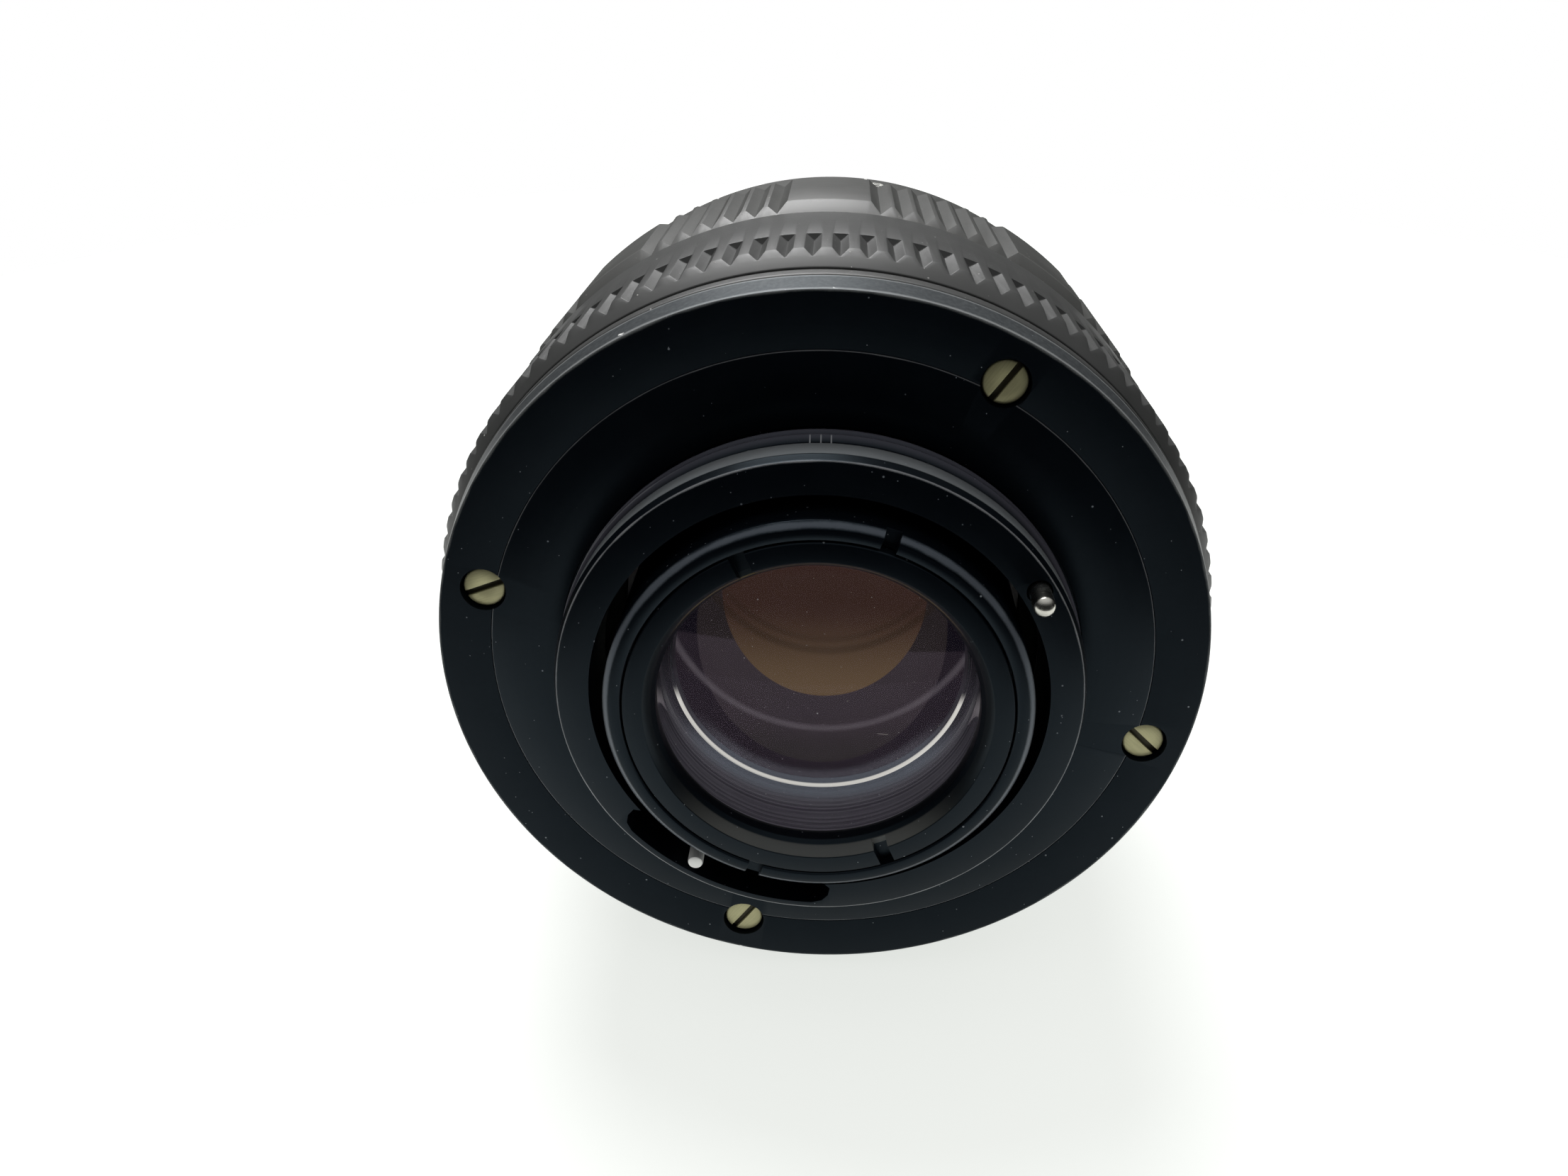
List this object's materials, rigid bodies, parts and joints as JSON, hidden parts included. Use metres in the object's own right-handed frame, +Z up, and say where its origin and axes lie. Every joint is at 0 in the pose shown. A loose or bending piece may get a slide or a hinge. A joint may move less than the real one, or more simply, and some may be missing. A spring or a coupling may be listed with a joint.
{
  "type": "screw-mount camera lens",
  "caption": "Round manual-focus camera lens with a threaded rear mount, knurled aperture ring, ribbed focus ring, iris, glass groups and a spring-loaded stop-down pin.",
  "frame": {"origin": "on the optical axis, in the plane of the rear flange face that seats on the camera or enlarger", "axes": "Y is the optical axis: -Y points out of the threaded rear mount, +Y out of the front glass; +Z up and +X right as seen from the rear, with the lens lying on its side"},
  "size_m": [0.0666, 0.0568, 0.0666],
  "materials": {
    "black_satin_paint": "satin",
    "black_anodised": "satin",
    "worn_black_metal": "satin, worn",
    "nickel_brass": "satin",
    "polished_steel": "polished",
    "brass": "satin",
    "plain_aluminium": "satin",
    "blued_blade": "matt",
    "coated_glass": "polished"
  },
  "bodies": {
    "housing": {"mount_plate": "black_satin_paint", "mount_screw_1": "nickel_brass", "mount_screw_2": "nickel_brass", "mount_screw_3": "nickel_brass", "mount_screw_4": "nickel_brass", "rear_housing": "worn_black_metal", "index_ring": "black_anodised", "helicoid_barrel": "plain_aluminium", "focus_retainer": "brass", "guide_key_1": "brass", "guide_key_2": "brass", "detent_ball": "polished_steel", "pin_spring": "polished_steel", "mechanism_plate": "brass", "mechanism_standoff_1": "brass", "mechanism_standoff_2": "brass", "mechanism_standoff_3": "brass"},
    "aperture_control": {"aperture_ring": "black_anodised", "aperture_drive_pin": "polished_steel"},
    "focus_control": {"focus_ring": "black_anodised", "helicoid_ring": "brass", "focus_set_screw_1": "polished_steel", "focus_set_screw_2": "polished_steel", "focus_set_screw_3": "polished_steel"},
    "lens_block": {"lens_barrel": "plain_aluminium", "front_barrel": "black_anodised", "rear_cell": "black_satin_paint", "rear_retaining_ring": "black_satin_paint", "front_cell": "plain_aluminium", "front_retaining_ring": "black_satin_paint", "front_name_ring": "black_satin_paint", "lens_1_front": "coated_glass", "lens_2": "coated_glass", "lens_3": "coated_glass", "lens_4": "coated_glass", "lens_5": "coated_glass", "lens_6_rear": "coated_glass", "iris_cover": "black_satin_paint"},
    "iris_cam": {"iris_cam_ring": "brass"},
    "blade_1": {"iris_blade_1": "blued_blade"},
    "blade_2": {"iris_blade_2": "blued_blade"},
    "blade_3": {"iris_blade_3": "blued_blade"},
    "blade_4": {"iris_blade_4": "blued_blade"},
    "blade_5": {"iris_blade_5": "blued_blade"},
    "blade_6": {"iris_blade_6": "blued_blade"},
    "stopdown": {"stopdown_pin": "polished_steel"},
    "diaphragm_linkage": {"diaphragm_lever": "polished_steel", "diaphragm_lever_post": "polished_steel"}
  },
  "joints": [
    {"name": "aperture_turn", "type": "hinge", "parent": "housing", "child": "aperture_control", "pos_m": [0, 0.0125, 0], "axis": [0, -1, 0], "range_deg": [0, 60]},
    {"name": "focus_turn", "type": "hinge", "parent": "housing", "child": "focus_control", "pos_m": [0, 0.0325, 0], "axis": [0, -1, 0], "range_deg": [0, 270]},
    {"name": "block_slide", "type": "slide", "parent": "housing", "child": "lens_block", "axis": [0, 1, 0], "range_m": [0, 0.0085]},
    {"name": "iris_cam_turn", "type": "hinge", "parent": "lens_block", "child": "iris_cam", "pos_m": [0, 0.0175, 0], "axis": [0, -1, 0], "range_deg": [0, 60]},
    {"name": "blade_1_turn", "type": "hinge", "parent": "lens_block", "child": "blade_1", "pos_m": [0.019, 0.015, 0], "axis": [0, -1, 0], "range_deg": [0, 28]},
    {"name": "blade_2_turn", "type": "hinge", "parent": "lens_block", "child": "blade_2", "pos_m": [0.0095, 0.015, 0.01645], "axis": [0, -1, 0], "range_deg": [0, 28]},
    {"name": "blade_3_turn", "type": "hinge", "parent": "lens_block", "child": "blade_3", "pos_m": [-0.0095, 0.015, 0.01645], "axis": [0, -1, 0], "range_deg": [0, 28]},
    {"name": "blade_4_turn", "type": "hinge", "parent": "lens_block", "child": "blade_4", "pos_m": [-0.019, 0.015, 0], "axis": [0, -1, 0], "range_deg": [0, 28]},
    {"name": "blade_5_turn", "type": "hinge", "parent": "lens_block", "child": "blade_5", "pos_m": [-0.0095, 0.015, -0.01645], "axis": [0, -1, 0], "range_deg": [0, 28]},
    {"name": "blade_6_turn", "type": "hinge", "parent": "lens_block", "child": "blade_6", "pos_m": [0.0095, 0.015, -0.01645], "axis": [0, -1, 0], "range_deg": [0, 28]},
    {"name": "pin_press", "type": "slide", "parent": "housing", "child": "stopdown", "axis": [0, 1, 0], "range_m": [0, 0.0026], "stiffness_N_per_m": 250, "springref_m": -0.002, "deforming": ["pin_spring"]},
    {"name": "lever_turn", "type": "hinge", "parent": "housing", "child": "diaphragm_linkage", "pos_m": [0, 0.0036, 0], "axis": [0, -1, 0], "range_deg": [-12.1, 0]}
  ],
  "couplings": [
    {"joint": "block_slide", "follows": "focus_turn", "m_per_rad": 0.0018037},
    {"joint": "iris_cam_turn", "follows": "aperture_turn", "ratio": 1},
    {"joint": "blade_1_turn", "follows": "aperture_turn", "ratio": 0.45},
    {"joint": "blade_2_turn", "follows": "aperture_turn", "ratio": 0.45},
    {"joint": "blade_3_turn", "follows": "aperture_turn", "ratio": 0.45},
    {"joint": "blade_4_turn", "follows": "aperture_turn", "ratio": 0.45},
    {"joint": "blade_5_turn", "follows": "aperture_turn", "ratio": 0.45},
    {"joint": "blade_6_turn", "follows": "aperture_turn", "ratio": 0.45},
    {"joint": "lever_turn", "follows": "pin_press", "rad_per_m": -80.55}
  ]
}
